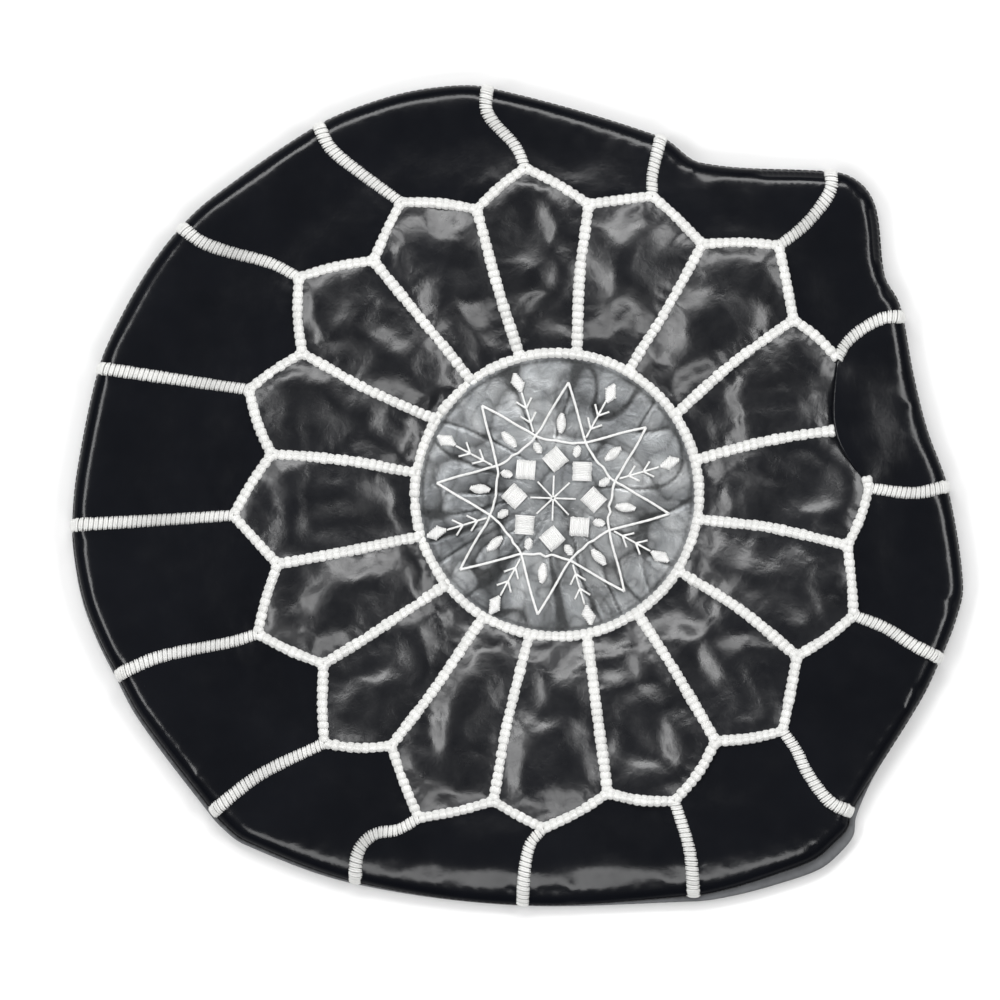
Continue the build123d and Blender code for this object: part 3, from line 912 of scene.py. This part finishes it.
def dress_top(leather, ends):
    """Make each panel's piece from the settled leather."""
    made = {}
    for index, name in enumerate(leather.names):
        if name == "pleat_roll":
            continue
        owned = [index]
        if name == f"side_panel_{PLEATED:02d}":
            owned.append(leather.names.index("pleat_roll"))
        faces = [face for face, owner in zip(leather.faces, leather.owners) if owner in owned]
        used = sorted({i for face in faces for i in face})
        order = {old: new for new, old in enumerate(used)}
        mesh = Mesh()
        mesh.add(ends[used], [[order[i] for i in face] for face in faces])
        kind = name.split("_")[0]
        piece = mesh.piece("leather_" + name, LEATHERS[kind])
        finished_sheet(piece, TOP_THICKNESS, -1, WRINKLES[kind])
        if kind in TONES:
            tones = [TONES[kind](vertex.co) for vertex in piece.data.vertices]
            piece.data.attributes["tone"].data.foreach_set("value", tones)
        placed(piece, name)
        made[name] = piece
    return made


# The braided seams


def rows_along(path, pitch):
    """Give evenly spaced places along a path of 3-D points, each with its heading."""
    path = np.array(path)
    steps = np.linalg.norm(np.diff(path, axis=0), axis=1)
    reach = np.concatenate([[0], np.cumsum(steps)])
    count = max(2, round(reach[-1] / pitch))

    def at(lengths):
        return np.column_stack([np.interp(lengths, reach, path[:, k]) for k in range(3)])

    wanted = (np.arange(count) + 0.5) * reach[-1] / count
    spots = at(wanted)
    headings = at(np.minimum(wanted + pitch, reach[-1])) - at(np.maximum(wanted - pitch, 0))
    return spots, headings / np.linalg.norm(headings, axis=1)[:, None]


def draped(plan, lift=0.0, tree=None):
    """Lay a plan path on the settled leather."""
    tree = tree or top_tree
    return np.array([(x, y, height_on(tree, (x, y)) + lift) for x, y in plan])


def bead_pair(s):
    """Give a wrap's thickness across the seam, from -1 to 1: two plump halves with a groove."""
    reach = 0.58 if abs(s) > 0.5 else 0.8
    return math.sqrt(1 - ((abs(s) - 0.5) / reach)**2)


def single_strand(s):
    return 1 - 0.25 * s**4


def stitch(mesh, spot, heading, width, height, thick, slant, shape, tone, segments=11, sides=8):
    """Add one wrap of thread over a seam: a low arch across the heading."""
    level = np.array([heading[0], heading[1], 0])
    level /= np.linalg.norm(level)
    side = np.array([-level[1], level[0], 0])
    up = np.cross(side, -heading) if heading[2] else np.array([0, 0, 1.0])
    up = up / np.linalg.norm(up)
    if up[2] < 0:
        up = -up
    path, radii = [], []
    for s in np.linspace(-1, 1, segments):
        arch = (height - thick / 2) * math.sqrt(max(1 - s * s, 0))
        path.append(spot + side * s * (width / 2 - 0.3 * MM) + up * (arch - 0.1 * MM) + heading * slant * s)
        radii.append(thick / 2 * shape(s))
    points, faces, strands = tube(path, radii, sides, up=heading)
    mesh.add(points, faces, tone, strands)


def core(mesh, path, width, height, tone):
    """Lay the low band of thread that shows between a braid's wraps; its tone darkens it as painted shade
    in those gaps.
    """
    spots, headings = rows_along(path, 2 * MM)
    points = []
    for spot, heading in zip(spots, headings):
        side = np.array([-heading[1], heading[0], 0]) / math.hypot(heading[0], heading[1])
        for s in np.linspace(-1, 1, 7):
            points.append(spot + side * s * width / 2 + np.array([0, 0, height * (1 - s**4) - 0.2 * MM]))
    mesh.add(points, grid_faces(len(spots), 7), tone)


def plaited(mesh, path, width=WRAP_WIDTH):
    """Lay the plump plait of a spoke, ring or petal edge along a path."""
    # The core's tone of 0.8 paints shade into the gaps between the wraps.
    core(mesh, path, width * 0.8, 1.5 * MM, 0.8)
    spots, headings = rows_along(path, WRAP_PITCH)
    for spot, heading in zip(spots, headings):
        plump = RANDOM.uniform(0.94, 1.06)
        tone = RANDOM.uniform(0.9, 1.0)
        turn = RANDOM.uniform(0.25, 0.6) * MM
        stitch(mesh, spot, heading, width * plump, WRAP_HEIGHT * plump, WRAP_PITCH * 1.3, turn,
               bead_pair, tone)


def ribbed(mesh, path, dull):
    """Lay the slanted ribs of a side seam along a path; dull gives each rib's greyness, painted shade along
    one stretch of the seam.
    """
    # The core's tone of 0.6 paints shade into the gaps between the ribs.
    core(mesh, path, RIB_WIDTH * 0.6, 1.3 * MM, 0.6)
    spots, headings = rows_along(path, RIB_PITCH)
    for i, (spot, heading) in enumerate(zip(spots, headings)):
        share = i / len(spots)
        width = RIB_WIDTH * (0.8 + 0.2 * share) * RANDOM.uniform(0.94, 1.05)
        partner = 0.14 * MM if i % 2 else -0.14 * MM
        # Each rib's random tone, times the seam's painted shade.
        tone = RANDOM.uniform(0.92, 1.0) * dull(share)
        stitch(mesh, spot - heading * partner, heading, width, RIB_HEIGHT * RANDOM.uniform(0.92, 1.06),
               RIB_PITCH, 0.7 * MM, single_strand, tone, segments=7, sides=6)


def in_sight(plan):
    """Keep the places of a spoke up to where it goes beneath the pleat."""
    beneath = in_plan(plan, pleat_cover)
    return plan[:beneath.argmax()] if beneath.any() else plan


def clear_of_fold(plan):
    """Keep the places of a pleated-over edge that come out past the fold."""
    return np.array([place for place in plan if fold_tree.find((*place, 0))[2] < 3 * MM])


def braid_pieces():
    """Make the four braids."""
    made = {name: Mesh() for name in ("ring_braid", "spoke_braids", "petal_edge_braid", "side_seam_braids")}
    ring = joined(*seams.arcs)
    plaited(made["ring_braid"], draped(ring), WRAP_WIDTH * 0.92)
    for n in range(COUNT):
        plaited(made["spoke_braids"], draped(in_sight(seams.spokes[n])))
        outward, inward = seams.outward[n], seams.inward[n]
        if n == PLEATED - 1:
            outward = clear_of_fold(outward)
        if n == PLEATED - 2:
            inward = clear_of_fold(inward)
        for edge in (outward, inward):
            if len(edge) > 2:
                plaited(made["petal_edge_braid"], draped(edge), WRAP_WIDTH * 0.93)
        # Painted shade: each side seam greys along one stretch, set at random.
        wear_and_shade = RANDOM.uniform(0.0, 0.35)
        middle = RANDOM.uniform(0.1, 0.6)
        ribbed(made["side_seam_braids"], draped(seams.sides[n]),
               lambda share: 1 - wear_and_shade * math.exp(-((share - middle) / 0.22)**2))
    for name, mesh in made.items():
        placed(mesh.piece("thread_" + name, WHITE_THREAD), name)


# The embroidery


def turned_to(centre, direction, along, across):
    """Place a motif's point, given along and across its direction."""
    c, s = math.cos(direction), math.sin(direction)
    return centre + np.array([c * along - s * across, s * along + c * across])


class Motif:
    """What the frame says about a motif: its repeat's first direction, and its reach."""

    def __init__(self, name):
        low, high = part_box("star_outline_embroidery")
        self.centre = np.array([(low.x + high.x) / 2, (low.y + high.y) / 2])
        from_centre = places(name)[:, :2] - self.centre
        radii = np.linalg.norm(from_centre, axis=1)
        angles = np.arctan2(from_centre[:, 1], from_centre[:, 0])
        self.inner, self.outer = radii.min(), radii.max()
        far = angles[radii > self.outer - SAME_PLACE] * REPEAT
        self.first = math.atan2(np.sin(far).mean(), np.cos(far).mean()) / REPEAT

    def directions(self):
        return [self.first + k * math.tau / REPEAT for k in range(REPEAT)]

    def at(self, direction, along, across=0):
        return turned_to(self.centre, direction, along, across)


def by_hand():
    """Give a motif's small offset from its even place."""
    return RANDOM.normal(0, 0.45 * MM, 2)


def lay_cord(mesh, plan, radius):
    """Lay a raised line of thread on the medallion."""
    steps = joined(*curve_through(plan, 2.0 * MM))
    path = draped(steps, radius * CORD_LIFT, medallion_tree)
    length = np.arange(len(path))
    points, faces, strands = tube(path, radius * (1 + 0.1 * np.sin(length * 2.1)), 7)
    mesh.add(points, faces, RANDOM.uniform(0.93, 1.0), strands)


def satin(mesh, centre, direction, outline_width, start, end, slant=0.0):
    """Fill a shape with parallel threads; outline_width gives its half width along the run."""
    count = max(3, round((end - start) / SATIN_PITCH))
    for k in range(count):
        along = start + (k + 0.5) * (end - start) / count
        half = outline_width(along) * RANDOM.uniform(0.94, 1.04)
        if half < SATIN_RADIUS:
            continue
        ends = [turned_to(centre, direction, along + slant * side * half, side * half)
                for side in (-1, -0.5, 0, 0.5, 1)]
        path = draped(ends, 0.0, medallion_tree)
        path[:, 2] += SATIN_RADIUS * np.array([0.1, 1.3, 1.6, 1.3, 0.1])
        points, faces, strands = tube(path, SATIN_RADIUS, 6)
        mesh.add(points, faces, RANDOM.uniform(0.88, 1.0), strands)


def embroidery():
    """Make the seven kinds of stitched motif."""
    made = {}

    def begun(name):
        made[name] = Mesh()
        return Motif(name), made[name]

    star, mesh = begun("centre_star_embroidery")
    for direction in star.directions():
        lay_cord(mesh, [star.at(direction, along) for along in (0.6 * MM, star.outer)], CORD_RADIUS * 0.75)

    block, mesh = begun("square_embroidery")
    side = (block.outer - block.inner) / math.sqrt(2)
    middle = (block.outer + block.inner) / 2
    for k, direction in enumerate(block.directions()):
        place = block.at(direction, middle)
        turn = math.radians(45 if k % 2 else -45) + RANDOM.normal(0, 0.05)
        satin(mesh, place + by_hand(), direction + turn, lambda along: side / 2, -side / 2, side / 2)

    for name in ("inner_leaf_embroidery", "tip_leaf_embroidery", "diamond_embroidery"):
        motif, mesh = begun(name)
        growth = DIAMOND_GROWTH if name.startswith("diamond") else 1.0
        half_length = growth * (motif.outer - motif.inner) / 2
        spread = places(name)[:, :2] - motif.centre
        turned = np.array([turned_to(np.zeros(2), -motif.first, *point) for point in spread])
        near = turned[(turned[:, 0] > motif.inner) & (abs(turned[:, 1]) < half_length)]
        half_width = growth * abs(near[:, 1]).max()
        middle = (motif.outer + motif.inner) / 2
        pointed = 1.0 if name.startswith("diamond") else 1.7
        for direction in motif.directions():
            place = motif.at(direction, middle) + by_hand()
            satin(mesh, place, direction + RANDOM.normal(0, 0.06),
                  lambda along: half_width * (1 - abs(along / half_length)**pointed),
                  -half_length, half_length, slant=0.35)

    star, mesh = begun("star_outline_embroidery")
    tip, waist = star.outer - CORD_RADIUS, star.inner + CORD_RADIUS
    step = math.tau / REPEAT
    for direction in star.directions():
        stroke = []
        for turn in np.linspace(-1, 1, 17):
            radius = waist + (tip - waist) * abs(turn)**STAR_BOW
            stroke.append(star.at(direction + (1 + turn) * step, radius) + by_hand() * (1 - abs(turn)))
        lay_cord(mesh, stroke, CORD_RADIUS)

    sprig, mesh = begun("sprig_embroidery")
    length = sprig.outer - sprig.inner
    twig = length * TWIG_LENGTH
    for direction in sprig.directions():
        stem = [sprig.at(direction, along) for along in (sprig.inner, sprig.outer)]
        lay_cord(mesh, stem, CORD_RADIUS * 0.8)
        for share in TWIG_PLACES:
            root = sprig.inner + share * length
            for turn in (TWIG_TURN, -TWIG_TURN):
                end = sprig.at(direction, root + twig * math.cos(turn), twig * math.sin(turn))
                lay_cord(mesh, [sprig.at(direction, root), end], CORD_RADIUS * 0.8)

    for name, mesh in made.items():
        placed(mesh.piece("thread_" + name, SATIN_THREAD), name)


# The base


def base_band(point):
    """Give how far the base's edge stands out past the top: most at the front right."""
    right = math.remainder(bearing(point) - BAND_TURN, math.tau)
    left = math.remainder(bearing(point) - LEFT_TURN, math.tau)
    breadth = BAND_BREADTHS[0] if right > 0 else BAND_BREADTHS[1]
    return BAND_REACH * math.exp(-(right / breadth)**2) + LEFT_REACH * math.exp(-(left / LEFT_BREADTH)**2)


def base_heights(plan):
    """Give the base's outside heights: flat, and turned up towards the rim."""
    away = np.array([from_rim(place) for place in plan])
    away[~in_plan(plan, seams.rim)] = 0
    share = np.clip(1 - away / BASE_LIP, 0, 1)
    return (LAND - BASE_THICKNESS) * share**2


def base_pieces():
    """Make the two halves of the base, from the rim in to the slot."""
    outer = np.array([point + base_band(point) * (point - CENTRE) / np.linalg.norm(point - CENTRE)
                      for point in seams.rim])
    lip = seams.inside_rim([0, 2.5 * MM, 5.5 * MM, BASE_LIP])[::2]
    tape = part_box("zip_tape_front")
    for half, sign in (("front", -1), ("rear", 1)):
        near = places("base_" + half)
        near = near[(abs(near[:, 0]) < abs(tape[0].x)) & (abs(near[:, 1]) > 1 * MM)
                    & (abs(near[:, 1]) < 8 * MM)]
        end, slot = abs(near[:, 0]).max(), abs(near[:, 1]).min()
        side = outer[sign * outer[:, 1] > 1 * MM]
        turns = np.array([bearing(point) for point in side])
        side = side[np.argsort(sign * turns)]
        right, left = side[0], side[-1]
        straight = [(left[0], 0), (-end, 0), (-end, sign * slot), (end, sign * slot), (end, 0),
                    (right[0], 0)]
        inner = []
        for a, b in zip(straight, straight[1:]):
            a, b = np.array(a, float), np.array(b, float)
            steps = max(1, round(np.linalg.norm(b - a) / BASE_SPACING))
            inner += [a + (b - a) * k / steps for k in range(steps)]
        border = np.vstack([side, inner, [straight[-1]]])
        if sign < 0:
            border = border[::-1]
        plan, faces = filled(border, BASE_SPACING, lip)
        mesh = Mesh()
        mesh.add(np.column_stack([plan, base_heights(plan)]), faces)
        piece = mesh.piece("leather_base_" + half, CHARCOAL)
        finished_sheet(piece, BASE_THICKNESS, 1)
        placed(piece, "base_" + half)


def dashes(mesh, path, length, gap):
    """Lay machine stitches along a path of 3-D points."""
    spots, headings = rows_along(path, length + gap)
    for spot, heading in zip(spots, headings):
        arch = [spot + heading * length * s / 2 + np.array([0, 0, STITCH_RADIUS * (0.5 - 0.6 * s * s)])
                for s in (-1, -0.6, 0, 0.6, 1)]
        points, faces, strands = tube(arch, STITCH_RADIUS, 6)
        mesh.add(points, faces, RANDOM.uniform(0.85, 1.0), strands)


def stitching():
    """Make the rim's seam and the rows that hold the zip."""
    mesh = Mesh()
    rim = np.vstack([seams.rim, seams.rim[:1]])
    dashes(mesh, [(x, y, LAND) for x, y in rim], SEAM_STITCH, SEAM_GAP)
    seam = mesh.piece("thread_base_seam", DARK_THREAD)

    mesh = Mesh()
    low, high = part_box("base_stitching")
    tape_low, tape_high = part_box("zip_tape_rear")
    rows = np.array([0.45, 0.78]) * (tape_high.y - tape_low.y) + tape_low.y
    for row in [*rows, *(-rows)]:
        dashes(mesh, [(tape_low.x + 2 * MM, row, tape_high.z), (tape_high.x - 2 * MM, row, tape_high.z)],
               ROW_STITCH, ROW_GAP)
    for start, end in ((low.x, tape_low.x - 6 * MM), (tape_high.x + 6 * MM, high.x)):
        for row in (-3 * MM, 3 * MM):
            dashes(mesh, [(start, row, BASE_THICKNESS), (end, row, BASE_THICKNESS)], ROW_STITCH, ROW_GAP)
    tape_rows = mesh.piece("thread_base_stitching", DARK_THREAD)
    placed(seam, "base_seam")
    placed(tape_rows, "base_stitching")


def finish_zip():
    """Give the zip's CAD nodes their materials."""
    slots = {part["node"]: part["material_slot"] for part in frame["record"]["subparts"]}
    for name, node_object in frame["nodes"].items():
        if slots[name] in ZIP_MATERIALS:
            node_object.data.materials.clear()
            node_object.data.materials.append(ZIP_MATERIALS[slots[name]])


# The setting


def area_light(name, turn, height, distance, size, power):
    """Hang a soft light that faces the object."""
    data = bpy.data.lights.new(name, "AREA")
    data.shape = "RECTANGLE"
    data.size, data.size_y = size
    data.energy = power
    light = bpy.data.objects.new(name, data)
    flat = distance * math.cos(height)
    light.location = (flat * math.sin(turn), flat * math.cos(turn), distance * math.sin(height))
    light.rotation_euler = (-light.location).to_track_quat("-Z", "Y").to_euler()
    bpy.context.scene.collection.objects.link(light)


def setting():
    """Make the floor, the lights and the camera."""
    mesh = bpy.data.meshes.new("floor")
    corner_signs = ((-1, -1), (1, -1), (1, 1), (-1, 1))
    mesh.from_pydata([(x * FLOOR_REACH, y * FLOOR_REACH, 0) for x, y in corner_signs], [], [(0, 1, 2, 3)])
    floor = bpy.data.objects.new("floor", mesh)
    made, tree, shader, place = material("floor", 0.9)
    shade = ramp(tree, pattern(tree, place, 0.4), [(0.0, grey(0.9)), (1.0, grey(0.93))])
    feed(tree, shader.inputs["Base Color"], shade)
    mesh.materials.append(made)
    bpy.context.scene.collection.objects.link(floor)

    world = bpy.data.worlds.new("studio")
    world.use_nodes = True
    world.node_tree.nodes["Background"].inputs["Color"].default_value = (1, 1, 1, 1)
    world.node_tree.nodes["Background"].inputs["Strength"].default_value = 0.08
    bpy.context.scene.world = world
    degrees = math.radians
    area_light("rear_light", degrees(-8), degrees(46), 4.4, (4.4, 1.1), 120)
    area_light("left_light", degrees(-90), degrees(46), 4.4, (3.6, 1.0), 84)
    area_light("right_light", degrees(80), degrees(42), 4.4, (3.6, 1.0), 80)
    area_light("front_light", degrees(180), degrees(46), 4.4, (4.0, 1.2), 76)

    view = bpy.data.cameras.new("camera")
    view.sensor_width = 36
    view.lens = 36 * CAMERA_DISTANCE / VIEW_WIDTH
    camera = bpy.data.objects.new("camera", view)
    back = Vector((0, -math.cos(CAMERA_HEIGHT), math.sin(CAMERA_HEIGHT)))
    camera.location = VIEW_CENTRE + back * CAMERA_DISTANCE
    camera.rotation_euler = back.to_track_quat("Z", "Y").to_euler()
    bpy.context.scene.collection.objects.link(camera)
    bpy.context.scene.camera = camera
    bpy.context.scene.view_settings.view_transform = "Standard"


setting()
leather, settled = lay_leather()
panels = dress_top(leather, settled)
top_tree = tree_of(settled, leather.faces)
medallion_index = leather.names.index("medallion")
medallion_tree = tree_of(settled, [face for face, owner in zip(leather.faces, leather.owners)
                                   if owner == medallion_index])
fold_tree = tree_in_plan(seams.fold())
pleat_cover = joined(seams.fold(), joined(seams.inward[PLEATED - 2], seams.outward[PLEATED - 1])[::-1])[:-1]
braid_pieces()
embroidery()
base_pieces()
stitching()
finish_zip()
